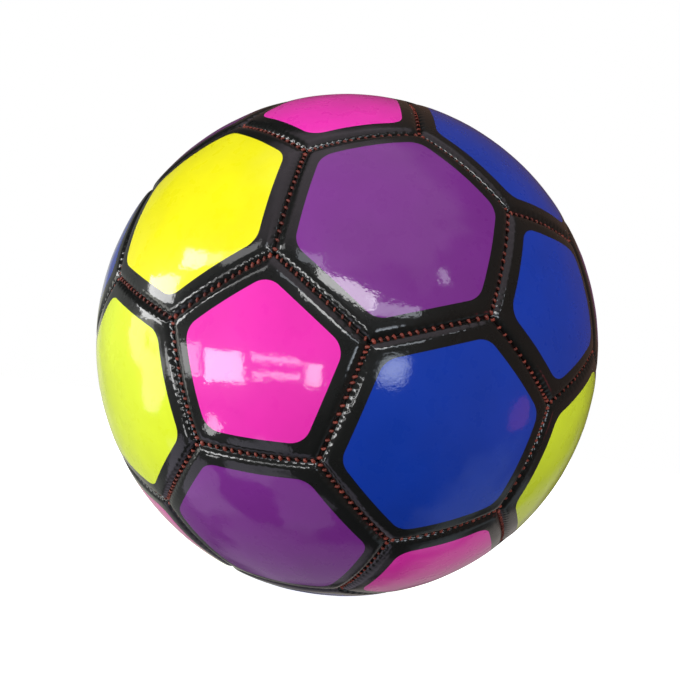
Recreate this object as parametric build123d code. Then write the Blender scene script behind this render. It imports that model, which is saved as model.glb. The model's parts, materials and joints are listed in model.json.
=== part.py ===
from build123d import *

# Size 5 soccer ball: 32 stitched cover panels, each a thin skin over foam and a woven lining,
# laced together by seam threads around an air bladder with a push-in valve core.
# The origin is the ball's centre, and +Z runs out through the valve. Millimetres throughout.

import os
from itertools import combinations
from math import acos, asin, atan, cos, degrees, radians, sin, sqrt, tan

# ---- driving dimensions ----
BALL_RADIUS = 110.0

SKIN_THICKNESS = 0.9
FOAM_THICKNESS = 2.0
LINING_THICKNESS = 0.6
GLUE_LINE = 0.12
HEM_DEPTH = 4.0
SEAM_HALF_GAP = 0.15
EDGE_ROUND = 1.8

THREAD_DIAMETER = 0.9
THREAD_DEPTH = 0.62
THREAD_END_GAP = 1.5

BLADDER_CLEARANCE = 0.1
BLADDER_THICKNESS = 0.8

PATCH_RADIUS = 20.0
PATCH_THICKNESS = 0.4

STEM_RADIUS = 4.3
STEM_CLEARANCE = 0.1
COVER_HOLE_RADIUS = 4.6
STEM_RECESS = 0.3
FLANGE_RADIUS = 14.0
FLANGE_THICKNESS = 1.5
BOOT_RADIUS = 5.2
BOOT_LENGTH = 17.5
BOOT_FLOOR = 1.6
BOOT_ROUND = 1.2

CORE_RADIUS = 2.5
CORE_HEAD_RADIUS = 3.2
CORE_HEAD_HEIGHT = 1.3
CORE_CLEARANCE = 0.06
CORE_LENGTH = 15.0
CORE_RECESS = 0.25
CORE_END_ROUND = 0.8
WAIST_DEPTH = 0.35
WAIST_WIDTH = 1.6
WAIST_PLACES = (4.2, 8.0)
NEEDLE_RADIUS = 1.0
NEEDLE_DEPTH = 9.0
ENTRY_RADIUS = 1.8
ENTRY_DEPTH = 0.8

# ---- radii of the layers, from the outside in ----
SKIN_INSIDE = BALL_RADIUS - SKIN_THICKNESS
FOAM_OUTSIDE = SKIN_INSIDE - GLUE_LINE
FOAM_INSIDE = FOAM_OUTSIDE - FOAM_THICKNESS
LINING_OUTSIDE = FOAM_INSIDE - GLUE_LINE
LINING_INSIDE = LINING_OUTSIDE - LINING_THICKNESS
PATCH_OUTSIDE = LINING_INSIDE - GLUE_LINE
PATCH_INSIDE = PATCH_OUTSIDE - PATCH_THICKNESS
HEM_INSIDE = BALL_RADIUS - HEM_DEPTH
BLADDER_OUTSIDE = PATCH_INSIDE - BLADDER_CLEARANCE
BLADDER_INSIDE = BLADDER_OUTSIDE - BLADDER_THICKNESS

# ---- the 32-panel pattern: 12 pentagons and 20 hexagons of one edge length ----
GOLDEN = (1 + sqrt(5)) / 2
CORNER_RADIUS_PER_EDGE = sqrt(9 * GOLDEN + 10) / 2
PANEL_EDGE = BALL_RADIUS / CORNER_RADIUS_PER_EDGE
HALF_SEAM_ANGLE = degrees(asin(0.5 / CORNER_RADIUS_PER_EDGE))


def side_angle(sides):
    """Angle at the ball's centre from a panel's middle to the middle of its side, in degrees."""
    apothem = PANEL_EDGE / (2 * tan(radians(180 / sides)))
    corner_reach = PANEL_EDGE / (2 * sin(radians(180 / sides)))
    height = sqrt(BALL_RADIUS**2 - corner_reach**2)
    return degrees(atan(apothem / height))


PENTAGON_ANGLE = side_angle(5)
HEXAGON_ANGLE = side_angle(6)
PENTAGON_TO_HEXAGON = PENTAGON_ANGLE + HEXAGON_ANGLE
HEXAGON_TO_HEXAGON = 2 * HEXAGON_ANGLE
PENTAGON_TO_PENTAGON = degrees(acos(1 / sqrt(5)))
ANGLE_TOLERANCE = 0.1


def direction(polar, azimuth):
    """Unit vector at a polar angle from +Z and an azimuth from +X, both in degrees."""
    flat = sin(radians(polar))
    return Vector(flat * cos(radians(azimuth)), flat * sin(radians(azimuth)), cos(radians(polar)))


def ring(polar, first_azimuth):
    """Three directions a third of a turn apart."""
    return [direction(polar, first_azimuth + 120 * turn) for turn in range(3)]


def by_height(directions):
    """Directions from the top of the ball down, and anticlockwise from -Y within a ring."""
    def order(way):
        azimuth = Vector(0, -1, 0).get_signed_angle(Vector(way.X, way.Y, 0), Vector(0, 0, 1))
        return -round(way.Z, 3), round(azimuth, 1) % 360
    return sorted(directions, key=order)


def pentagon_directions():
    """Twelve pentagon middles, with a hexagon on +Z and a pentagon over -Y beside it."""
    upper_polar = PENTAGON_TO_HEXAGON
    middle_polar = degrees(acos(sqrt((5 - 2 * sqrt(5)) / 15)))
    upper = ring(upper_polar, -90) + ring(middle_polar, -30)
    return by_height(upper + [-way for way in upper])


def hexagon_directions(pentagons):
    """Twenty hexagon middles, one between each three neighbouring pentagons."""
    middles = []
    for trio in combinations(pentagons, 3):
        apart = [first.get_angle(second) for first, second in combinations(trio, 2)]
        if all(abs(angle - PENTAGON_TO_PENTAGON) < ANGLE_TOLERANCE for angle in apart):
            middles.append((trio[0] + trio[1] + trio[2]).normalized())
    return by_height(middles)


PENTAGONS = pentagon_directions()
HEXAGONS = hexagon_directions(PENTAGONS)


def panel_location(middle):
    """Where a panel modelled about +Z goes: its side on +X turns to face a neighbouring hexagon."""
    others = [way for way in HEXAGONS if way.get_angle(middle) > ANGLE_TOLERANCE]
    neighbour = min(others, key=middle.get_angle)
    across = middle.cross(neighbour).cross(middle)
    return Plane(origin=(0, 0, 0), x_dir=across, z_dir=middle).location


# ---- solids shared by the layers ----
def ball(radius):
    """A ball whose poles lie on the X axis, clear of the panel that is modelled about +Z."""
    return Rotation(0, 90, 0) * Sphere(radius)


def shell(outside, inside):
    return ball(outside) - ball(inside)


def trimmed(solid, sides, inset):
    """What a solid keeps inside a panel's outline, whose sides lie inset within the seams."""
    for turn in range(sides):
        outward = direction(90 + side_angle(sides), turn * 360 / sides)
        solid = split(solid, Plane(origin=outward * -inset, z_dir=outward), Keep.BOTTOM)
    return solid


# ---- the cover ----
def panel_skin(sides):
    """A domed tray: the printed face, its rolled edges and the hems turned in along the seams."""
    face = trimmed(ball(BALL_RADIUS), sides, SEAM_HALF_GAP)
    rim = face.faces().sort_by(Axis.Z)[-1].outer_wire().edges()
    face = fillet(rim, EDGE_ROUND)
    hollow = trimmed(ball(SKIN_INSIDE), sides, SEAM_HALF_GAP + SKIN_THICKNESS)
    return face - ball(HEM_INSIDE) - hollow


def panel_layer(sides, outside, inside):
    """A layer inside the hems of a panel."""
    return trimmed(shell(outside, inside), sides, SEAM_HALF_GAP + SKIN_THICKNESS + GLUE_LINE)


def valve_hole():
    return Cylinder(COVER_HOLE_RADIUS, 2 * BALL_RADIUS, align=(Align.CENTER, Align.CENTER, Align.MIN))


def placed(prototype, middles):
    return [panel_location(middle) * prototype for middle in middles]


# ---- the seam threads ----
def seams():
    """Each seam once, as the pair of panel middles it joins and the angle from the first to it."""
    found = []
    for pentagon in PENTAGONS:
        for hexagon in HEXAGONS:
            if abs(pentagon.get_angle(hexagon) - PENTAGON_TO_HEXAGON) < ANGLE_TOLERANCE:
                found.append((pentagon, hexagon, PENTAGON_ANGLE))
    for first, second in combinations(HEXAGONS, 2):
        if abs(first.get_angle(second) - HEXAGON_TO_HEXAGON) < ANGLE_TOLERANCE:
            found.append((first, second, HEXAGON_ANGLE))
    return found


def seam_thread():
    """One seam's lacing, as a round strand in the seam's groove, centred on +X in the XY plane."""
    centre = BALL_RADIUS - THREAD_DEPTH
    half_turn = HALF_SEAM_ANGLE - degrees(THREAD_END_GAP / BALL_RADIUS)
    section = Plane.XZ * Pos(centre, 0) * Circle(THREAD_DIAMETER / 2)
    return Rotation(0, 0, -half_turn) * revolve(section, Axis.Z, 2 * half_turn)


def threads_between(strand, chosen):
    """The strand laid in each chosen seam."""
    laid = []
    for first, second, angle in chosen:
        along = first.cross(second).normalized()
        towards = along.cross(first)
        middle = first * cos(radians(angle)) + towards * sin(radians(angle))
        place = Plane(origin=(0, 0, 0), x_dir=middle, z_dir=middle.cross(along))
        laid.append(place.location * strand)
    return laid


# ---- the bladder and its valve, on +Z ----
def disc(radius, low, high):
    return Pos(0, 0, (low + high) / 2) * Cylinder(radius, high - low)


def bladder():
    hole = disc(STEM_RADIUS + STEM_CLEARANCE, BLADDER_INSIDE / 2, BALL_RADIUS)
    return shell(BLADDER_OUTSIDE, BLADDER_INSIDE) - hole


def valve_patch():
    """A reinforcing ring glued to the lining round the valve hole."""
    blank = shell(PATCH_OUTSIDE, PATCH_INSIDE) & disc(PATCH_RADIUS, 0, BALL_RADIUS)
    return blank - valve_hole()


STEM_TOP = BALL_RADIUS - STEM_RECESS
CORE_TOP = STEM_TOP - CORE_RECESS
CORE_BOTTOM = CORE_TOP - CORE_LENGTH
HEAD_BOTTOM = CORE_TOP - CORE_HEAD_HEIGHT
FLANGE_TOP = BLADDER_INSIDE - GLUE_LINE
BOOT_BOTTOM = STEM_TOP - BOOT_LENGTH


def valve_housing():
    """Rubber stem, flange under the bladder and closed boot, bored for the core."""
    under = FLANGE_TOP - FLANGE_THICKNESS
    flange = shell(FLANGE_TOP, under) & disc(FLANGE_RADIUS, 0, BALL_RADIUS)
    stem = disc(STEM_RADIUS, under, STEM_TOP)
    boot = disc(BOOT_RADIUS, BOOT_BOTTOM, under + FLANGE_THICKNESS / 2)
    boot = fillet(boot.edges().sort_by(Axis.Z)[0], BOOT_ROUND)
    bore = disc(CORE_RADIUS + CORE_CLEARANCE, BOOT_BOTTOM + BOOT_FLOOR, BALL_RADIUS)
    seat = disc(CORE_HEAD_RADIUS + CORE_CLEARANCE, HEAD_BOTTOM - CORE_CLEARANCE, BALL_RADIUS)
    return flange + stem + boot - bore - seat


def valve_core():
    """Push-in rubber plug: a head, a waisted shank and the bore that takes the needle."""
    shank = disc(CORE_RADIUS, CORE_BOTTOM, HEAD_BOTTOM + CORE_HEAD_HEIGHT / 2)
    shank = fillet(shank.edges().sort_by(Axis.Z)[0], CORE_END_ROUND)
    for place in WAIST_PLACES:
        waist = disc(2 * CORE_RADIUS, -WAIST_WIDTH / 2, WAIST_WIDTH / 2)
        waist -= disc(CORE_RADIUS - WAIST_DEPTH, -WAIST_WIDTH, WAIST_WIDTH)
        shank -= Pos(0, 0, CORE_BOTTOM + place) * waist
    head = disc(CORE_HEAD_RADIUS, HEAD_BOTTOM, CORE_TOP)
    entry_height = CORE_TOP - ENTRY_DEPTH / 2
    entry = Pos(0, 0, entry_height) * Cone(NEEDLE_RADIUS, ENTRY_RADIUS, ENTRY_DEPTH)
    needle = disc(NEEDLE_RADIUS, CORE_TOP - NEEDLE_DEPTH, CORE_TOP)
    return head + shank - entry - needle


def write(name, shapes):
    """One sub-part: a single solid, or a group of separate identical ones."""
    solids = [solid for shape in shapes for solid in shape.solids()]
    whole = solids[0] if len(solids) == 1 else Compound(solids)
    export_step(whole, f"parts/{name}.step")


def main():
    os.makedirs("parts", exist_ok=True)

    pentagon_skin = panel_skin(5)
    hexagon_skin = panel_skin(6)
    for number, middle in enumerate(PENTAGONS, 1):
        write(f"pentagon_panel_{number:02d}", placed(pentagon_skin, [middle]))
    write("valve_panel", placed(hexagon_skin - valve_hole(), HEXAGONS[:1]))
    for number, middle in enumerate(HEXAGONS[1:], 1):
        write(f"hexagon_panel_{number:02d}", placed(hexagon_skin, [middle]))

    pentagon_foam = panel_layer(5, FOAM_OUTSIDE, FOAM_INSIDE)
    hexagon_foam = panel_layer(6, FOAM_OUTSIDE, FOAM_INSIDE)
    write("pentagon_foams", placed(pentagon_foam, PENTAGONS))
    valve_foam = placed(hexagon_foam - valve_hole(), HEXAGONS[:1])
    write("hexagon_foams", valve_foam + placed(hexagon_foam, HEXAGONS[1:]))

    pentagon_lining = panel_layer(5, LINING_OUTSIDE, LINING_INSIDE)
    hexagon_lining = panel_layer(6, LINING_OUTSIDE, LINING_INSIDE)
    write("pentagon_linings", placed(pentagon_lining, PENTAGONS))
    valve_lining = placed(hexagon_lining - valve_hole(), HEXAGONS[:1])
    write("hexagon_linings", valve_lining + placed(hexagon_lining, HEXAGONS[1:]))

    strand = seam_thread()
    every_seam = seams()
    around_pentagons = [seam for seam in every_seam if seam[2] == PENTAGON_ANGLE]
    between_hexagons = [seam for seam in every_seam if seam[2] == HEXAGON_ANGLE]
    write("pentagon_seam_threads", threads_between(strand, around_pentagons))
    write("hexagon_seam_threads", threads_between(strand, between_hexagons))

    write("bladder", [bladder()])
    write("valve_patch", [valve_patch()])
    write("valve_housing", [valve_housing()])
    write("valve_core", [valve_core()])


if __name__ == "__main__":
    main()
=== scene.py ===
"""A stitched 32-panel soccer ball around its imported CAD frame.

Pillowed glossy panels with a printed face and a black border, laced seams, a foam layer under
each skin and a push-in rubber valve. Lengths are in millimetres until a mesh is made.
"""
import json
import math
from itertools import combinations

import bpy
import numpy as np
from mathutils import Matrix, Vector


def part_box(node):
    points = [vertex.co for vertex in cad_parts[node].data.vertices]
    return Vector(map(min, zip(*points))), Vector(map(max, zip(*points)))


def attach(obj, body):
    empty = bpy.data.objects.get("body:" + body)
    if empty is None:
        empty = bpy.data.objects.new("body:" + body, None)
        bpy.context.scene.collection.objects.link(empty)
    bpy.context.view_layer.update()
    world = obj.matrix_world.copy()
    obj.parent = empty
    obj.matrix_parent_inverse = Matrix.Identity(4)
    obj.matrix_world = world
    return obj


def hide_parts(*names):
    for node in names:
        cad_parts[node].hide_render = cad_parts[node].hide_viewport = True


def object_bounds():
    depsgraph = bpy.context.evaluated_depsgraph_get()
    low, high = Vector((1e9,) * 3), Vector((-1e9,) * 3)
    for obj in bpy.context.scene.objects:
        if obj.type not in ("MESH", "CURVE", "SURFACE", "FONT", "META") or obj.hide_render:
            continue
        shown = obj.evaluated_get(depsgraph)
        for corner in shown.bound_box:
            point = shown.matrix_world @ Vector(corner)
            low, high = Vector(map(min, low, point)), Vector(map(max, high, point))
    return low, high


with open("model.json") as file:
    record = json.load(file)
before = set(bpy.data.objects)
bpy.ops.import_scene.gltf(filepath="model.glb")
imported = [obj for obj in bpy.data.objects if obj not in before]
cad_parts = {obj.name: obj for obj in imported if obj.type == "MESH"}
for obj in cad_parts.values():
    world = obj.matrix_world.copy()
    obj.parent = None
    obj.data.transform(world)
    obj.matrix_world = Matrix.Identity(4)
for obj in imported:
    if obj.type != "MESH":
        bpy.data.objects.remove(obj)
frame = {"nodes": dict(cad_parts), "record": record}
cad_box = [list(corner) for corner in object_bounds()]

MM = 0.001

# ---- the ball, as in the CAD model ----
BALL_RADIUS = round(cad_box[1][2] / MM, 0)
SKIN_THICKNESS = 0.9
GLUE_LINE = 0.12
HEM_INSIDE = BALL_RADIUS - 4.0
SEAM_HALF_GAP = 0.15
FOAM_THICKNESS = 2.0
COVER_HOLE_RADIUS = 4.6

# ---- how a panel swells and rolls over into its seams ----
SHOULDER_WIDTH = 8.0
SHOULDER_DROP = 0.3
ROLL_WIDTH = 3.2
ROLL_DEPTH = 2.3
PUCKER_DEPTH = 0.2
PUCKER_LENGTH = 0.62
PUCKER_WIDTH = 1.2
PUCKER_PLACE = 1.1
UNDULATION_DEPTH = 0.014
UNDULATION_LENGTHS = (9.0, 22.0)
UNDULATION_WAVES = 20
UNDULATION_START = 2.0
UNDULATION_RAMP = 6.0
UNDULATION_SINK = 0.03
HOLE_RIM_DROP = 0.25

# ---- the printed face ----
BORDER_WIDTH = 6.7
PRINT_CORNER_RADIUS = 7.0

# ---- the lacing ----
STITCH_PITCH = 2.75
STITCH_END_GAP = 1.6
STITCH_BUNCHING = 0.1
STITCH_JITTER = 0.09
STITCH_DEPTH = 1.35
STITCH_DEPTH_SPREAD = 0.12
STITCH_ARCH = 0.5
STITCH_REACH = 0.66
STITCH_SLANT = 0.3
STITCH_SLANT_SPREAD = (0.7, 1.3)
THREAD_RADIUS = 0.4
LOCK_THREAD_DEPTH = 2.3
LOCK_THREAD_RADIUS = 0.28
PLIES = 3
PLY_TWIST = 0.3
PLY_RELIEF = 0.16
# Thickness and tone vary from seam to seam and from stitch to stitch.
SEAM_WEIGHTS = (0.88, 1.22)
SEAM_TONES = (0.55, 1.0)
STITCH_WEIGHTS = (0.88, 1.12)
STITCH_TONES = (0.5, 1.2)
END_STITCH_WEIGHT = 1.2
END_STITCH_TONE = 0.3

# ---- mesh densities ----
# Points along each side of a panel, and where its rings lie: mm in from the seams, then shares.
FINE, HALF, COARSE = 80, 40, 20
FINE_DISTANCES = (0.15, 0.2, 0.32, 0.5, 0.72, 1.0, 1.3, 1.65, 2.05, 2.5, 3.1)
HALF_DISTANCES = (3.9, 4.9, 6.0, 7.2, 8.6, 10.2)
UNDERSIDE_DISTANCES = (2.4, 5.0, 9.0, 14.0)
COARSE_SHARES = (0.86, 0.72, 0.58, 0.44, 0.3, 0.16)
HOLE_SHARES = (0.82, 0.66, 0.5, 0.36, 0.24, 0.15, 0.08, 0.03)
HOLE_BLEND_POWER = 1.5
HOLE_RING_SPREAD = 0.35
FOAM_INNER_SHARE = 0.25
THREAD_SIDES = 9
STITCH_STEPS = 7
LOCK_THREAD_SIDES = 6
LOCK_THREAD_STEPS = 40

rng = np.random.RandomState(32)


# ---- the pattern: 12 pentagons and 20 hexagons ----
def ring(polar, first_azimuth):
    """Three unit vectors a third of a turn apart, at a polar angle from +Z, in degrees."""
    flat, height = math.sin(math.radians(polar)), math.cos(math.radians(polar))
    turns = [math.radians(first_azimuth + 120 * turn) for turn in range(3)]
    return [np.array((flat * math.cos(a), flat * math.sin(a), height)) for a in turns]


def unit(v):
    return v / np.linalg.norm(v)


UPPER_POLAR = math.degrees(math.acos(math.sqrt((5 + 2 * math.sqrt(5)) / 15)))
MIDDLE_POLAR = math.degrees(math.acos(math.sqrt((5 - 2 * math.sqrt(5)) / 15)))
NEIGHBOUR_DOT = 1 / math.sqrt(5)
SAME_WAY = 0.999
upper_half = ring(UPPER_POLAR, -90) + ring(MIDDLE_POLAR, -30)
PENTAGONS = upper_half + [-way for way in upper_half]
HEXAGONS = [
    unit(sum(trio))
    for trio in combinations(PENTAGONS, 3)
    if all(abs(a @ b - NEIGHBOUR_DOT) < 0.01 for a, b in combinations(trio, 2))
]
CORNER_RADIUS_PER_EDGE = math.sqrt(9 * (1 + math.sqrt(5)) / 2 + 10) / 2
PANEL_EDGE = BALL_RADIUS / CORNER_RADIUS_PER_EDGE


def side_angle(sides):
    """Angle at the ball's centre from a panel's middle to the middle of its side, in radians."""
    apothem = PANEL_EDGE / (2 * math.tan(math.pi / sides))
    reach = PANEL_EDGE / (2 * math.sin(math.pi / sides))
    return math.atan(apothem / math.sqrt(BALL_RADIUS**2 - reach**2))


class Panel:
    """One panel's middle, seam planes and corners, in order around it."""

    def __init__(self, middle, sides):
        self.middle = middle
        self.sides = sides
        self.angle = side_angle(sides)
        others = [way for way in PENTAGONS + HEXAGONS if way @ middle < SAME_WAY]
        nearest = sorted(others, key=lambda way: -(way @ middle))[:sides]
        across = unit(nearest[0] - (nearest[0] @ middle) * middle)
        along = np.cross(middle, across)
        nearest.sort(key=lambda way: math.atan2(way @ along, way @ across))
        flat = [unit(way - (way @ middle) * middle) for way in nearest]
        cosine, sine = math.cos(self.angle), math.sin(self.angle)
        self.outward = [cosine * way - sine * middle for way in flat]
        pairs = [(self.outward[k - 1], self.outward[k]) for k in range(sides)]
        self.corners = [unit(np.cross(a, b)) for a, b in pairs]
        self.corners = [c if c @ middle > 0 else -c for c in self.corners]

    def distances(self, ways):
        """Distance along the ball from each direction to each seam, in mm."""
        return BALL_RADIUS * np.arcsin(-ways @ np.array(self.outward).T)


def slerp(a, b, share):
    """Directions at the given shares of the way along the arc from one to another."""
    whole = math.acos(np.clip(a @ b, -1, 1))
    share = np.asarray(share)[..., None]
    return (np.sin((1 - share) * whole) * a + np.sin(share * whole) * b) / math.sin(whole)


# ---- the seams and their stitches ----
def seam_key(a, b):
    return tuple(sorted((tuple(np.round(a, 3) + 0.0), tuple(np.round(b, 3) + 0.0))))


def stitch_places(length):
    """Where the stitches cross a seam: closer together towards one end than the other."""
    usable = length - 2 * STITCH_END_GAP
    count = int(round(usable / STITCH_PITCH)) + rng.randint(0, 2)
    even = np.linspace(0, 1, count)
    bunched = even + rng.uniform(-STITCH_BUNCHING, STITCH_BUNCHING) * np.sin(math.pi * even)
    return STITCH_END_GAP + usable * bunched + rng.normal(0, STITCH_JITTER, count)


PANELS = [Panel(way, 5) for way in PENTAGONS] + [Panel(way, 6) for way in HEXAGONS]
SEAMS = {}
for panel in PANELS:
    for side in range(panel.sides):
        start, end = panel.corners[side], panel.corners[(side + 1) % panel.sides]
        key = seam_key(start, end)
        if key not in SEAMS:
            arc = BALL_RADIUS * math.acos(start @ end)
            SEAMS[key] = {"start": start, "end": end, "across": panel.outward[side],
                          "arc": arc, "sides": panel.sides, "places": stitch_places(arc)}


# ---- the shape of a panel ----
class Undulation:
    """A gentle unevenness of a stuffed skin, as a sum of seeded waves."""

    def __init__(self):
        lengths = rng.uniform(*UNDULATION_LENGTHS, UNDULATION_WAVES)
        ways = rng.normal(size=(UNDULATION_WAVES, 3))
        ways /= np.linalg.norm(ways, axis=1)[:, None]
        self.waves = ways * (2 * math.pi * BALL_RADIUS / lengths)[:, None]
        self.phases = rng.uniform(0, 2 * math.pi, UNDULATION_WAVES)
        self.depths = UNDULATION_DEPTH * lengths / UNDULATION_LENGTHS[1]

    def at(self, ways):
        return np.sin(ways @ self.waves.T + self.phases) @ self.depths


def shoulder(distances):
    """How far the skin has sunk on its shoulders, at the given distances to each seam."""
    left = [np.clip(1 - d / SHOULDER_WIDTH, 0, 1) ** 2 for d in distances.T]
    return SHOULDER_DROP * (1 - np.prod([1 - share for share in left], axis=0))


def roll(distance):
    """How far the edge has rolled over at a distance to the seam."""
    inset = np.clip(1 - (distance - SEAM_HALF_GAP) / ROLL_WIDTH, 0, 1)
    return ROLL_DEPTH * (1 - np.sqrt(1 - inset**2))


def puckers(panel, ways, distances):
    """Dips where the stitches pull the rolled edge down."""
    dip = np.zeros(len(ways))
    for side in range(panel.sides):
        start, end = panel.corners[side], panel.corners[(side + 1) % panel.sides]
        seam = SEAMS[seam_key(start, end)]
        pole = np.cross(seam["start"], seam["end"])
        tangent = unit(np.cross(pole, seam["start"]))
        along = BALL_RADIUS * np.arctan2(ways @ tangent, ways @ seam["start"])
        near = np.exp(-((distances[:, side] - PUCKER_PLACE) / PUCKER_WIDTH) ** 2)
        pull = np.exp(-((along[:, None] - seam["places"]) / PUCKER_LENGTH) ** 2).sum(axis=1)
        dip += PUCKER_DEPTH * near * np.minimum(pull, 1)
    return dip


def print_field(panel, distances):
    """Distance in mm inside the printed face's rounded outline: above 0 is coloured."""
    turn = 2 * math.pi / panel.sides
    reach = BORDER_WIDTH + PRINT_CORNER_RADIUS - distances
    reach = -np.sort(-reach, axis=1)
    first, second = reach[:, 0], reach[:, 1]
    corner = (second - math.cos(turn) * first > 0) & (first - math.cos(turn) * second > 0)
    corner &= (first > 0) & (second > 0)
    square = first**2 + second**2 - 2 * math.cos(turn) * first * second
    diagonal = np.sqrt(np.maximum(square, 0)) / math.sin(turn)
    return PRINT_CORNER_RADIUS - np.where(corner, diagonal, first)


# ---- meshes ----
def new_object(name, verts_mm, faces, material):
    mesh = bpy.data.meshes.new(name)
    mesh.from_pydata((np.asarray(verts_mm) * MM).tolist(), [], faces)
    mesh.materials.append(material)
    obj = bpy.data.objects.new(name, mesh)
    bpy.context.scene.collection.objects.link(obj)
    return obj


def shade(obj, flat_from=None):
    """Smooth shading, except for the faces from an index on."""
    smooth = np.ones(len(obj.data.polygons), bool)
    if flat_from is not None:
        smooth[flat_from:] = False
    obj.data.polygons.foreach_set("use_smooth", smooth)


def add_attribute(obj, name, values):
    layer = obj.data.attributes.new(name, "FLOAT", "POINT")
    layer.data.foreach_set("value", np.asarray(values, np.float32))


def normalised(ways):
    return ways / np.linalg.norm(ways, axis=1)[:, None]


def outline(panel, per_side):
    """Directions around a panel's seams, starting at its first corner."""
    steps = np.arange(per_side) / per_side
    corners = panel.corners
    runs = [slerp(corners[k], corners[(k + 1) % panel.sides], steps) for k in range(panel.sides)]
    return np.concatenate(runs)


def from_middle(panel, edge):
    """Offsets to an outline from the panel's middle, in the plane that touches the ball there."""
    return edge / (edge @ panel.middle)[:, None] - panel.middle


def scaled_ring(panel, edge, share):
    """A seam outline drawn in towards the middle of the panel."""
    return normalised(panel.middle + share * from_middle(panel, edge))


def share_at(panel, distance):
    """The share of the outline at which its sides lie a distance in from the seams."""
    return math.tan(panel.angle - distance / BALL_RADIUS) / math.tan(panel.angle)


def hole_ring(panel, edge, share, reach=1.0):
    """A ring between the hole's circle, at share 0, and the outline drawn in by a reach."""
    offset = reach * from_middle(panel, edge)
    circle = normalised(offset) * COVER_HOLE_RADIUS / BALL_RADIUS
    blend = share**HOLE_BLEND_POWER
    drawn = blend * offset + (1 - blend) * (circle + offset * share * HOLE_RING_SPREAD)
    return normalised(panel.middle + drawn)


def bridge(outer, inner):
    """Faces between two closed rings of indices; the outer may have a whole number times more."""
    step = len(outer) // len(inner)
    faces = []
    for k in range(len(inner)):
        j = (k + 1) % len(inner)
        arc = [outer[(k * step + m) % len(outer)] for m in range(step + 1)]
        if step == 1:
            faces.append((arc[0], arc[1], inner[j], inner[k]))
            continue
        half = step // 2
        faces += [(arc[m], arc[m + 1], inner[k]) for m in range(half)]
        faces.append((arc[half], inner[j], inner[k]))
        faces += [(arc[m], arc[m + 1], inner[j]) for m in range(half, step)]
    return faces


class Surface:
    """Rings of vertices gathered into one mesh."""

    def __init__(self):
        self.parts, self.count, self.faces = [], 0, []

    def add(self, points):
        self.parts.append(points)
        indices = list(range(self.count, self.count + len(points)))
        self.count += len(points)
        return indices

    def join(self, rings, flip=False):
        for outer, inner in zip(rings, rings[1:]):
            faces = bridge(outer, inner)
            self.faces += [face[::-1] for face in faces] if flip else faces

    def cap(self, ring_indices, point, flip=False):
        centre = self.add(point[None, :])[0]
        for a, b in zip(ring_indices, ring_indices[1:] + ring_indices[:1]):
            self.faces.append((b, a, centre) if flip else (a, b, centre))

    def points(self):
        return np.concatenate(self.parts)


def panel_object(name, panel, node, material, with_hole):
    """The skin of one panel: its crowned face, rolled edges, hems and underside."""
    lumps = Undulation()
    surface = Surface()
    edges = {n: outline(panel, n) for n in (FINE, HALF, COARSE)}
    face_reach = share_at(panel, HALF_DISTANCES[-1])
    fields, seam_distances = [], []

    def height(ways):
        distances = panel.distances(ways)
        nearest = distances.min(axis=1)
        sunk = shoulder(distances) + roll(nearest) + puckers(panel, ways, distances)
        settled = np.clip((nearest - UNDULATION_START) / UNDULATION_RAMP, 0, 1)
        swell = (lumps.at(ways) - UNDULATION_SINK) * settled
        return BALL_RADIUS - sunk + swell, distances

    def note(distances):
        fields.append(print_field(panel, distances))
        seam_distances.append(distances.min(axis=1))

    def face_ring(ways, drop=0.0):
        radius, distances = height(ways)
        note(distances)
        return surface.add(ways * (radius - drop)[:, None])

    def plain_ring(ways, radius):
        note(panel.distances(ways))
        return surface.add(ways * np.asarray(radius)[..., None])

    fine = [scaled_ring(panel, edges[FINE], share_at(panel, d)) for d in FINE_DISTANCES]
    halves = [scaled_ring(panel, edges[HALF], share_at(panel, d)) for d in HALF_DISTANCES]
    wall_radius = height(fine[0])[0]
    hem = [plain_ring(fine[0], HEM_INSIDE), plain_ring(fine[0], (HEM_INSIDE + wall_radius) / 2)]
    rings = hem + [face_ring(ways) for ways in fine + halves]
    if with_hole:
        for share in HOLE_SHARES:
            rings.append(face_ring(hole_ring(panel, edges[COARSE], share, face_reach)))
        rim_ways = hole_ring(panel, edges[COARSE], 0)
        rings.append(face_ring(rim_ways, HOLE_RIM_DROP))
        surface.join(rings)
    else:
        for share in COARSE_SHARES:
            rings.append(face_ring(scaled_ring(panel, edges[COARSE], share * face_reach)))
        surface.join(rings)
        radius, distances = height(panel.middle[None, :])
        note(distances)
        surface.cap(rings[-1], panel.middle * radius[0])
    flat_from = len(surface.faces)

    hem_inner = scaled_ring(panel, edges[COARSE], share_at(panel, SEAM_HALF_GAP + SKIN_THICKNESS))
    under = [hem[0], plain_ring(hem_inner, HEM_INSIDE)]
    under.append(plain_ring(hem_inner, height(hem_inner)[0] - SKIN_THICKNESS))
    for distance in UNDERSIDE_DISTANCES:
        ways = scaled_ring(panel, edges[COARSE], share_at(panel, distance))
        under.append(plain_ring(ways, height(ways)[0] - SKIN_THICKNESS))
    if with_hole:
        under.append(plain_ring(rim_ways, height(rim_ways)[0] - SKIN_THICKNESS))
        surface.join(under, flip=True)
        surface.join([under[-1], rings[-1]], flip=True)
    else:
        surface.join(under, flip=True)
        note(panel.distances(panel.middle[None, :]))
        surface.cap(under[-1], panel.middle * (BALL_RADIUS - SKIN_THICKNESS), flip=True)

    obj = new_object(name, surface.points(), surface.faces, material)
    shade(obj, flat_from)
    add_attribute(obj, "print", np.concatenate(fields))
    add_attribute(obj, "seam", np.concatenate(seam_distances))
    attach(obj, "ball")
    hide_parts(node)
    return obj


# ---- shader helpers ----
def new_material(name):
    material = bpy.data.materials.new(name)
    material.use_nodes = True
    nodes = material.node_tree.nodes
    return material, nodes, material.node_tree.links, nodes["Principled BSDF"]


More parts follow.
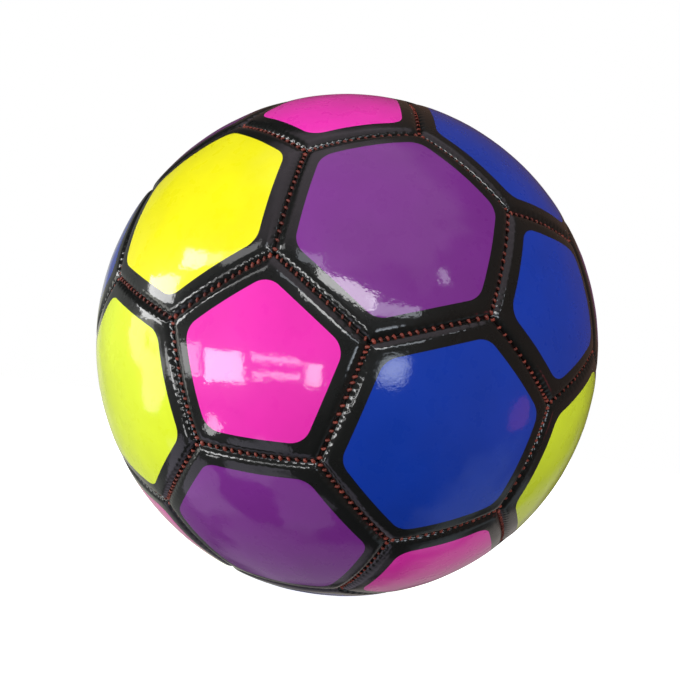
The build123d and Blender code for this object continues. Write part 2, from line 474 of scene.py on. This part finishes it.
def noise(nodes, links, vector, scale, detail=2.0):
    node = nodes.new("ShaderNodeTexNoise")
    node.inputs["Scale"].default_value = scale
    node.inputs["Detail"].default_value = detail
    links.new(vector, node.inputs["Vector"])
    return node.outputs["Fac"]


def remap(nodes, links, value, low, high, to_low=0.0, to_high=1.0):
    node = nodes.new("ShaderNodeMapRange")
    node.inputs["From Min"].default_value = low
    node.inputs["From Max"].default_value = high
    node.inputs["To Min"].default_value = to_low
    node.inputs["To Max"].default_value = to_high
    links.new(value, node.inputs["Value"])
    return node.outputs["Result"]


def mix_colour(nodes, links, share, a, b):
    """From one colour to another; each is a tuple or a socket."""
    node = nodes.new("ShaderNodeMix")
    node.data_type = "RGBA"
    for socket, value in ((node.inputs["A"], a), (node.inputs["B"], b)):
        if isinstance(value, tuple):
            socket.default_value = (*value, 1)
        else:
            links.new(value, socket)
    links.new(share, node.inputs["Factor"])
    return node.outputs["Result"]


def math_node(nodes, links, operation, a, b):
    node = nodes.new("ShaderNodeMath")
    node.operation = operation
    links.new(a, node.inputs[0])
    links.new(b, node.inputs[1])
    return node.outputs["Value"]


def attribute(nodes, name):
    node = nodes.new("ShaderNodeAttribute")
    node.attribute_name = name
    return node.outputs["Fac"]


def bump(nodes, links, height, distance, below=None):
    node = nodes.new("ShaderNodeBump")
    node.inputs["Strength"].default_value = 1.0
    node.inputs["Distance"].default_value = distance
    links.new(height, node.inputs["Height"])
    if below is not None:
        links.new(below, node.inputs["Normal"])
    return node.outputs["Normal"]


def object_vector(nodes):
    return nodes.new("ShaderNodeTexCoord").outputs["Object"]


# ---- materials ----
# Noise scales are per metre, bump depths in metres.
BORDER_COLOUR = (0.009, 0.0095, 0.009)
WORN_BORDER_COLOUR = (0.018, 0.018, 0.017)
BLUE_INK = (0.006, 0.043, 0.41)
INK_MOTTLE = 0.9
INK_MOTTLE_SCALE = 45
WEAR_SCALE = 900
PRINT_EDGE_BLUR = 0.04
PVC_ROUGHNESS = (0.24, 0.36)
PVC_ROUGHNESS_SCALE = 160
COAT_WEIGHT = 0.9
COAT_ROUGHNESS = 0.045
PVC_SPECULAR = 0.08
PEEL_SCALE = 800
PEEL_DEPTH = 0.000026
CREASE_SCALE = 420
CREASE_DEPTH = 0.000011
CREASE_REACH = (3, 13)
CREASE_AT_SEAM = 3.0

THREAD_RED = ((0.014, 0.003, 0.003), (0.2, 0.024, 0.016))
THREAD_PALE = ((0.035, 0.009, 0.007), (0.38, 0.09, 0.055))
THREAD_ROUGHNESS = 0.38
THREAD_SPECULAR = 0.3
FIBRE_SCALE = 4000
FIBRE_DEPTH = 0.00004

BLADDER_COLOUR = (0.02, 0.02, 0.02)
VALVE_COLOUR = (0.016, 0.016, 0.017)
DUST_GAIN = 2.2
DUST_LIFT = 0.01
DUST_SCALE = 220
RUBBER_ROUGHNESS = (0.42, 0.6)
RUBBER_ROUGHNESS_SCALE = 700
RUBBER_GRAIN_SCALE = 2000
RUBBER_GRAIN_DEPTH = 0.00003

FOAM_COLOURS = ((0.72, 0.70, 0.64), (0.82, 0.81, 0.77))
FOAM_CELL_SCALE = 2200
FOAM_CELL_DEPTH = 0.0002
FOAM_ROUGHNESS = 0.85

WOVEN_COLOURS = ((0.42, 0.40, 0.35), (0.74, 0.72, 0.66))
WEAVE_SCALE = 380
WEAVE_DEPTH = 0.0003
WOVEN_ROUGHNESS = 0.9


def pvc(slot, colour):
    """Glossy printed PVC: a coloured face inside a black border, with orange peel."""
    material, nodes, links, shader = new_material(slot)
    place = object_vector(nodes)
    mottle = remap(nodes, links, noise(nodes, links, place, INK_MOTTLE_SCALE, 3), 0.3, 0.7)
    deeper = tuple(INK_MOTTLE * channel for channel in colour)
    ink = mix_colour(nodes, links, mottle, deeper, colour)
    worn = remap(nodes, links, noise(nodes, links, place, WEAR_SCALE), 0.62, 0.75, 0, 0.5)
    border = mix_colour(nodes, links, worn, BORDER_COLOUR, WORN_BORDER_COLOUR)
    printed = attribute(nodes, "print")
    inside = remap(nodes, links, printed, -PRINT_EDGE_BLUR, PRINT_EDGE_BLUR)
    links.new(mix_colour(nodes, links, inside, border, ink), shader.inputs["Base Color"])
    uneven = noise(nodes, links, place, PVC_ROUGHNESS_SCALE, 3)
    links.new(remap(nodes, links, uneven, 0.3, 0.7, *PVC_ROUGHNESS), shader.inputs["Roughness"])
    shader.inputs["Coat Weight"].default_value = COAT_WEIGHT
    shader.inputs["Coat Roughness"].default_value = COAT_ROUGHNESS
    shader.inputs["Specular IOR Level"].default_value = PVC_SPECULAR
    peel = bump(nodes, links, noise(nodes, links, place, PEEL_SCALE), PEEL_DEPTH)
    near_seam = remap(nodes, links, attribute(nodes, "seam"), *CREASE_REACH, CREASE_AT_SEAM, 1.0)
    crease = noise(nodes, links, place, CREASE_SCALE, 3)
    crease = math_node(nodes, links, "MULTIPLY", crease, near_seam)
    creased = bump(nodes, links, crease, CREASE_DEPTH, peel)
    links.new(creased, shader.inputs["Normal"])
    links.new(creased, shader.inputs["Coat Normal"])
    return material


def thread_material():
    """Waxed polyester: from nearly black to dark red by tone, with paler fibres."""
    material, nodes, links, shader = new_material("seam_thread")
    place = object_vector(nodes)
    tone = attribute(nodes, "tone")
    red = mix_colour(nodes, links, tone, *THREAD_RED)
    pale = mix_colour(nodes, links, tone, *THREAD_PALE)
    fibre = remap(nodes, links, noise(nodes, links, place, FIBRE_SCALE), 0.35, 0.75)
    links.new(mix_colour(nodes, links, fibre, red, pale), shader.inputs["Base Color"])
    shader.inputs["Roughness"].default_value = THREAD_ROUGHNESS
    shader.inputs["Specular IOR Level"].default_value = THREAD_SPECULAR
    links.new(bump(nodes, links, fibre, FIBRE_DEPTH), shader.inputs["Normal"])
    return material


def rubber(name, colour):
    """Moulded rubber with dusty patches and a fine grain."""
    material, nodes, links, shader = new_material(name)
    place = object_vector(nodes)
    dusty = tuple(channel * DUST_GAIN + DUST_LIFT for channel in colour)
    patches = remap(nodes, links, noise(nodes, links, place, DUST_SCALE, 4), 0.42, 0.72)
    links.new(mix_colour(nodes, links, patches, colour, dusty), shader.inputs["Base Color"])
    uneven = noise(nodes, links, place, RUBBER_ROUGHNESS_SCALE, 3)
    rough = remap(nodes, links, uneven, 0.3, 0.7, *RUBBER_ROUGHNESS)
    links.new(rough, shader.inputs["Roughness"])
    grain = noise(nodes, links, place, RUBBER_GRAIN_SCALE)
    links.new(bump(nodes, links, grain, RUBBER_GRAIN_DEPTH), shader.inputs["Normal"])
    return material


def foam_material():
    """Closed-cell foam with cells of about half a millimetre."""
    material, nodes, links, shader = new_material("foam")
    cells = nodes.new("ShaderNodeTexVoronoi")
    cells.inputs["Scale"].default_value = FOAM_CELL_SCALE
    links.new(object_vector(nodes), cells.inputs["Vector"])
    depth = cells.outputs["Distance"]
    colour = mix_colour(nodes, links, remap(nodes, links, depth, 0, 0.8), *FOAM_COLOURS)
    links.new(colour, shader.inputs["Base Color"])
    shader.inputs["Roughness"].default_value = FOAM_ROUGHNESS
    links.new(bump(nodes, links, depth, FOAM_CELL_DEPTH), shader.inputs["Normal"])
    return material


def woven_material():
    """Backing cloth: warp and weft a little under a millimetre apart."""
    material, nodes, links, shader = new_material("woven_lining")
    place = object_vector(nodes)
    threads = []
    for axis in ("X", "Y"):
        wave = nodes.new("ShaderNodeTexWave")
        wave.bands_direction = axis
        wave.inputs["Scale"].default_value = WEAVE_SCALE
        links.new(place, wave.inputs["Vector"])
        threads.append(wave.outputs["Fac"])
    weave = math_node(nodes, links, "MAXIMUM", *threads)
    links.new(mix_colour(nodes, links, weave, *WOVEN_COLOURS), shader.inputs["Base Color"])
    shader.inputs["Roughness"].default_value = WOVEN_ROUGHNESS
    links.new(bump(nodes, links, weave, WEAVE_DEPTH), shader.inputs["Normal"])
    return material


record = frame["record"]
COLOURS = {m["slot"]: tuple(m["base_color"]) for m in record["materials"]}
COLOURS["blue_pvc"] = BLUE_INK
MATERIALS = {slot: pvc(slot, COLOURS[slot]) for slot in COLOURS if slot.endswith("_pvc")}
MATERIALS["seam_thread"] = thread_material()
MATERIALS["foam"] = foam_material()
MATERIALS["woven_lining"] = woven_material()
MATERIALS["bladder_rubber"] = rubber("bladder_rubber", BLADDER_COLOUR)
MATERIALS["valve_rubber"] = rubber("valve_rubber", VALVE_COLOUR)
SLOT_OF = {part["node"]: part["material_slot"] for part in record["subparts"]}


# ---- the cover ----
def nearest_panel(node):
    """The panel of the pattern that a CAD node's box lies over."""
    low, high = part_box(node)
    middle = unit(np.array((low + high) / 2))
    return max(PANELS, key=lambda panel: panel.middle @ middle)


for node in sorted(frame["nodes"]):
    if "_panel" not in node:
        continue
    slot = SLOT_OF[node]
    skin = panel_object(f"{node}_skin", nearest_panel(node), node, MATERIALS[slot],
                        with_hole=node == "valve_panel")


# ---- the foams ----
def foam_shell(surface, panel, with_hole):
    """One panel's foam: its top follows the skin and its underside lies on the lining."""
    edge = outline(panel, COARSE)
    skin_inside = BALL_RADIUS - SKIN_THICKNESS - GLUE_LINE
    crown = skin_inside - PUCKER_DEPTH / 2
    base = skin_inside - FOAM_THICKNESS
    distances_in = (SEAM_HALF_GAP + SKIN_THICKNESS + GLUE_LINE, *UNDERSIDE_DISTANCES)
    shares = [share_at(panel, distance) for distance in distances_in]
    top, bottom = [], []
    for share in shares + ([] if with_hole else [FOAM_INNER_SHARE]):
        ways = scaled_ring(panel, edge, share)
        distances = panel.distances(ways)
        sunk = shoulder(distances) + roll(distances.min(axis=1))
        top.append(surface.add(ways * (crown - sunk)[:, None]))
        bottom.append(surface.add(ways * base))
    if with_hole:
        ways = hole_ring(panel, edge, 0)
        top.append(surface.add(ways * crown))
        bottom.append(surface.add(ways * base))
        surface.join([top[-1], bottom[-1]])
    surface.join(top)
    surface.join(bottom, flip=True)
    surface.join([bottom[0], top[0]])
    if not with_hole:
        surface.cap(top[-1], panel.middle * crown)
        surface.cap(bottom[-1], panel.middle * base, flip=True)


for sides, node in ((5, "pentagon_foams"), (6, "hexagon_foams")):
    pad = Surface()
    for panel in PANELS:
        if panel.sides == sides:
            foam_shell(pad, panel, with_hole=panel.middle[2] > SAME_WAY)
    foam = new_object(f"{node}_pads", pad.points(), pad.faces, MATERIALS["foam"])
    shade(foam)
    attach(foam, "ball")
    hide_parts(node)


# ---- the lacing ----
def tube(surface, centres, ups, radius, sides, plies=0, twist=0.0):
    """A capped tube along a line of points; plies give it the lobes of a twisted thread."""
    tangents = normalised(np.gradient(centres, axis=0))
    aside = normalised(np.cross(tangents, ups))
    over = np.cross(aside, tangents)
    turns = np.arange(sides) * 2 * math.pi / sides
    rings = []
    for k, centre in enumerate(centres):
        lobes = 1 + PLY_RELIEF * np.cos(plies * (turns - twist * k)) if plies else np.ones(sides)
        reach = (radius * lobes)[:, None]
        points = centre + reach * (np.cos(turns)[:, None] * aside[k]
                                   + np.sin(turns)[:, None] * over[k])
        rings.append(surface.add(points))
    surface.join(rings)
    surface.cap(rings[-1], centres[-1])
    surface.cap(rings[0], centres[0], flip=True)


def seam_frame(seam, along):
    """Direction, tangent and across vectors at places along a seam, in mm from its start."""
    ways = slerp(seam["start"], seam["end"], np.asarray(along) / seam["arc"])
    across = np.broadcast_to(seam["across"], ways.shape)
    tangents = np.cross(across, ways)
    return ways, tangents, across


def lacing(name, node, sides):
    """The stitches and lock threads of the seams that begin at a pentagon or at a hexagon."""
    surface = Surface()
    tones = []
    for seam in SEAMS.values():
        if seam["sides"] != sides:
            continue
        lean = 1 if seam["start"][2] > seam["end"][2] else -1
        seam_weight, seam_tone = rng.uniform(*SEAM_WEIGHTS), rng.uniform(*SEAM_TONES)
        for number, place in enumerate(seam["places"]):
            u = np.linspace(-1, 1, STITCH_STEPS)
            at_end = number in (0, len(seam["places"]) - 1)
            slant = STITCH_SLANT * rng.uniform(*STITCH_SLANT_SPREAD) * lean
            ways, tangents, across = seam_frame(seam, np.full(STITCH_STEPS, place))
            uneven = rng.uniform(-STITCH_DEPTH_SPREAD, STITCH_DEPTH_SPREAD)
            depth = STITCH_DEPTH + STITCH_ARCH * u**2 + uneven
            centres = (ways * (BALL_RADIUS - depth)[:, None]
                       + across * (STITCH_REACH * u)[:, None]
                       + tangents * (slant * u)[:, None])
            weight = seam_weight * rng.uniform(*STITCH_WEIGHTS)
            weight *= END_STITCH_WEIGHT if at_end else 1
            before = surface.count
            tube(surface, centres, ways, THREAD_RADIUS * weight, THREAD_SIDES, PLIES, PLY_TWIST)
            tone = seam_tone * rng.uniform(*STITCH_TONES) + (END_STITCH_TONE if at_end else 0)
            tones.append(np.full(surface.count - before, tone))
        along = np.linspace(STITCH_END_GAP / 2, seam["arc"] - STITCH_END_GAP / 2,
                            LOCK_THREAD_STEPS)
        ways = seam_frame(seam, along)[0]
        before = surface.count
        tube(surface, ways * (BALL_RADIUS - LOCK_THREAD_DEPTH), ways, LOCK_THREAD_RADIUS,
             LOCK_THREAD_SIDES)
        tones.append(np.zeros(surface.count - before))
    obj = new_object(name, surface.points(), surface.faces, MATERIALS["seam_thread"])
    shade(obj)
    add_attribute(obj, "tone", np.concatenate(tones))
    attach(obj, "ball")
    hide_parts(node)


lacing("pentagon_seam_stitches", "pentagon_seam_threads", 5)
lacing("hexagon_seam_stitches", "hexagon_seam_threads", 6)

# ---- CAD pieces that keep their shape ----
for node in ("bladder", "valve_patch", "pentagon_linings", "hexagon_linings", "valve_housing",
             "valve_core"):
    for material_slot in frame["nodes"][node].material_slots:
        material_slot.material = MATERIALS[SLOT_OF[node]]

# ---- the camera ----
CAMERA_AZIMUTH = 15.4
CAMERA_ELEVATION = -5.13
CAMERA_ROLL = 8.31
CAMERA_DISTANCE = 371.8
CAMERA_LENS = 42.94
SENSOR_WIDTH = 36.0
CAMERA_SHIFT = (-0.0103, 0.0073)
CLIP_START = 0.01


def camera_axes():
    """The camera's right, up and back directions."""
    azimuth, elevation = math.radians(CAMERA_AZIMUTH), math.radians(CAMERA_ELEVATION)
    back = Vector((math.sin(azimuth) * math.cos(elevation),
                   -math.cos(azimuth) * math.cos(elevation), math.sin(elevation)))
    level = Vector((0, 0, 1)).cross(back).normalized()
    upright = back.cross(level)
    roll_angle = math.radians(CAMERA_ROLL)
    right = math.cos(roll_angle) * level + math.sin(roll_angle) * upright
    return right, back.cross(right), back


RIGHT, UP, BACK = camera_axes()
camera_data = bpy.data.cameras.new("camera")
camera_data.lens = CAMERA_LENS
camera_data.sensor_width = SENSOR_WIDTH
camera_data.shift_x, camera_data.shift_y = CAMERA_SHIFT
camera_data.clip_start = CLIP_START
camera = bpy.data.objects.new("camera", camera_data)
bpy.context.scene.collection.objects.link(camera)
turn = Matrix((RIGHT, UP, BACK)).transposed()
camera.matrix_world = Matrix.Translation(BACK * CAMERA_DISTANCE * MM) @ turn.to_4x4()
bpy.context.scene.camera = camera

# ---- the lights ----
LIGHT_DISTANCE = 1.5
SKY = (0.86, 0.92, 1.0)
WHITE = (1.0, 1.0, 1.0)
RED = (1.0, 0.08, 0.15)
# Name, azimuth, elevation and size in degrees, and radiance of the lights that only light.
SOFT_LIGHTS = (
    ("key", -70, 5, (60, 50), 3.4),
    ("fill", 30, 35, (60, 50), 1.9),
    ("fill_low", 75, -20, (60, 50), 0.7),
    ("back", 180, 35, (70, 60), 1.6),
)
# Name, azimuth, elevation, size and tilt in degrees, radiance and colour of what the skin mirrors.
MIRRORED_LIGHTS = (
    ("window_far", -68.5, -4.4, (13, 11), 0, 5.5, WHITE),
    ("window_wide", -51.3, -7.6, (16.5, 11.3), -4, 12.0, WHITE),
    ("window_slats_top", -29, -5.0, (20.5, 3.4), -4, 7.0, WHITE),
    ("window_slats_bottom", -29.5, -12.6, (20.5, 2.8), -4, 7.0, WHITE),
    ("window_near", -13.2, -12, (6.6, 10.3), 0, 10.0, WHITE),
    ("skylight_far", -87, 15.5, (18, 12), 8, 10.0, WHITE),
    ("skylight_middle", -74.5, 28.5, (11.5, 6), 12, 11.0, WHITE),
    ("skylight_near", -63, 30.5, (8.5, 6), 12, 5.0, WHITE),
    ("skylight_end", -48, 32.5, (17, 7), 25, 3.2, WHITE),
    ("doorway_left", -17, 33, (14, 7), -5, 3.0, SKY),
    ("doorway", -1.5, 21.5, (25, 9), -23, 11.0, WHITE),
    ("doorway_right", 19, 13.5, (21, 7), -12, 5.0, SKY),
    ("glint_low", -64, -29, (10, 5), 30, 7.0, WHITE),
    ("glint_right", 42, 25, (5, 6), 0, 4.5, SKY),
)


def towards(azimuth, elevation):
    """A direction given from the camera's side of the ball, in degrees right of it and above."""
    a, e = math.radians(azimuth), math.radians(elevation)
    return (RIGHT * math.sin(a) * math.cos(e) + UP * math.sin(e)
            + BACK * math.cos(a) * math.cos(e))


def area_light(name, azimuth, elevation, size_degrees, radiance, colour=WHITE, tilt=0,
               shape="RECTANGLE", mirrored=True):
    """A light facing the ball, sized by the angles it fills as seen from it."""
    light = bpy.data.lights.new(name, "AREA")
    light.shape = shape
    light.size = 2 * LIGHT_DISTANCE * math.tan(math.radians(size_degrees[0]) / 2)
    light.size_y = 2 * LIGHT_DISTANCE * math.tan(math.radians(size_degrees[1]) / 2)
    light.energy = radiance * math.pi * light.size * light.size_y
    light.color = colour
    obj = bpy.data.objects.new(name, light)
    bpy.context.scene.collection.objects.link(obj)
    way = towards(azimuth, elevation)
    level = UP.cross(way).normalized()
    slope = math.radians(tilt)
    across = math.cos(slope) * level + math.sin(slope) * way.cross(level)
    rise = way.cross(across)
    axes = Matrix((across, rise, way)).transposed()
    obj.matrix_world = Matrix.Translation(way * LIGHT_DISTANCE) @ axes.to_4x4()
    obj.visible_camera = False
    obj.visible_diffuse = not mirrored
    obj.visible_glossy = mirrored


for light_row in SOFT_LIGHTS:
    area_light(*light_row, mirrored=False)
for name, azimuth, elevation, size_degrees, tilt, radiance, colour in MIRRORED_LIGHTS:
    area_light(name, azimuth, elevation, size_degrees, radiance, colour, tilt)
area_light("red_disc", 81.6, -21.5, (12, 12), 0.7, RED, shape="ELLIPSE")

# ---- the floor ----
FLOOR_RADIUS = 8.0
FLOOR_SEGMENTS = 96
FLOOR_COLOUR = (0.8, 0.8, 0.8)
FLOOR_ROUGHNESS = 0.9
FLOOR_GLOW = 1.0


def make_floor():
    """A plain white floor that the camera sees, and that neither lights nor shades the ball."""
    bpy.ops.mesh.primitive_circle_add(vertices=FLOOR_SEGMENTS, radius=FLOOR_RADIUS,
                                      fill_type="NGON", location=(0, 0, cad_box[0][2]))
    floor = bpy.context.object
    floor.name = "floor"
    material, nodes, links, shader = new_material("floor")
    shader.inputs["Base Color"].default_value = (*FLOOR_COLOUR, 1)
    shader.inputs["Roughness"].default_value = FLOOR_ROUGHNESS
    shader.inputs["Emission Color"].default_value = (*WHITE, 1)
    path = nodes.new("ShaderNodeLightPath")
    glow = remap(nodes, links, path.outputs["Is Camera Ray"], 0, 1, 0, FLOOR_GLOW)
    links.new(glow, shader.inputs["Emission Strength"])
    floor.data.materials.append(material)
    floor.visible_glossy = False
    floor.visible_diffuse = False
    floor.visible_shadow = False


make_floor()

# ---- the surroundings ----
ROOM_COLOUR = (0.07, 0.07, 0.07)
ROOM_DIFFUSE = (0.3, 0.3, 0.31)
ROOM_RAGGEDNESS = 0.3
ROOM_RAGGED_SCALE = 3.2
# Azimuth, elevation, outer and inner half-angles in degrees, and colour of each patch.
ROOM_PATCHES = (
    (0, -90, 75, 30, (0.01, 0.01, 0.012)),
    (150, 25, 55, 30, (0.1, 0.06, 0.045)),
    (80, 0, 60, 25, (0.1, 0.055, 0.042)),
    (-100, 45, 50, 30, (0.0, 0.0, 0.0)),
    (5, 68, 42, 26, (0.72, 0.6, 0.7)),
    (40, 46, 20, 13, (0.65, 0.54, 0.62)),
    (-132, -8, 42, 18, (0.25, 0.26, 0.25)),
    (-160, -6, 24, 10, (0.6, 0.6, 0.5)),
    (-99, 2, 9, 2, (2.4, 2.4, 2.2)),
    (-90, -8, 11, 3, (2.4, 2.4, 2.3)),
    (-60, -45, 17, 13, (0.95, 0.9, 1.1)),
    (-95, -45, 14, 9, (0.7, 0.65, 0.8)),
    (-60, -66, 12, 8, (0.5, 0.45, 0.6)),
    (-150, -62, 26, 18, (0.34, 0.3, 0.37)),
    (96, -52, 24, 12, (0.27, 0.31, 0.34)),
    (160, -38, 24, 12, (0.34, 0.31, 0.29)),
)
# A lamp's soft glow, in the same order.
LAMP_GLOW = (18.8, -9.3, 9.5, 2.0, (6.0, 6.6, 7.4))


def facing(nodes, links, direction, way, outer, inner):
    """0 to 1 as a direction turns towards a way, between two angles in degrees."""
    node = nodes.new("ShaderNodeVectorMath")
    node.operation = "DOT_PRODUCT"
    links.new(direction, node.inputs[0])
    node.inputs[1].default_value = way
    start, end = math.cos(math.radians(outer)), math.cos(math.radians(inner))
    return remap(nodes, links, node.outputs["Value"], start, end)


def ragged_direction(nodes, links, direction):
    """A direction pushed about by noise, which gives the patches uneven outlines."""
    cloud = nodes.new("ShaderNodeTexNoise")
    cloud.inputs["Scale"].default_value = ROOM_RAGGED_SCALE
    links.new(direction, cloud.inputs["Vector"])
    centred = nodes.new("ShaderNodeVectorMath")
    centred.operation = "SUBTRACT"
    centred.inputs[1].default_value = (0.5, 0.5, 0.5)
    links.new(cloud.outputs["Color"], centred.inputs[0])
    pushed = nodes.new("ShaderNodeVectorMath")
    pushed.operation = "MULTIPLY_ADD"
    pushed.inputs[1].default_value = (ROOM_RAGGEDNESS,) * 3
    links.new(centred.outputs["Vector"], pushed.inputs[0])
    links.new(direction, pushed.inputs[2])
    return pushed.outputs["Vector"]


def make_world():
    """White to the camera, an even grey to the diffuse rays, and a dim uneven room mirrored."""
    world = bpy.data.worlds.new("studio")
    bpy.context.scene.world = world
    world.use_nodes = True
    world.cycles.sampling_method = "NONE"
    nodes, links = world.node_tree.nodes, world.node_tree.links
    direction = nodes.new("ShaderNodeTexCoord").outputs["Generated"]
    ragged = ragged_direction(nodes, links, direction)
    room = ROOM_COLOUR
    for azimuth, elevation, outer, inner, colour in ROOM_PATCHES:
        share = facing(nodes, links, ragged, towards(azimuth, elevation), outer, inner)
        room = mix_colour(nodes, links, share, room, colour)
    azimuth, elevation, outer, inner, colour = LAMP_GLOW
    share = facing(nodes, links, direction, towards(azimuth, elevation), outer, inner)
    room = mix_colour(nodes, links, share, room, colour)
    path = nodes.new("ShaderNodeLightPath")
    soft = mix_colour(nodes, links, path.outputs["Is Diffuse Ray"], room, ROOM_DIFFUSE)
    seen = mix_colour(nodes, links, path.outputs["Is Camera Ray"], soft, WHITE)
    links.new(seen, nodes["Background"].inputs["Color"])


make_world()

bpy.context.scene.view_settings.view_transform = "Standard"
bpy.context.scene.view_settings.look = "None"
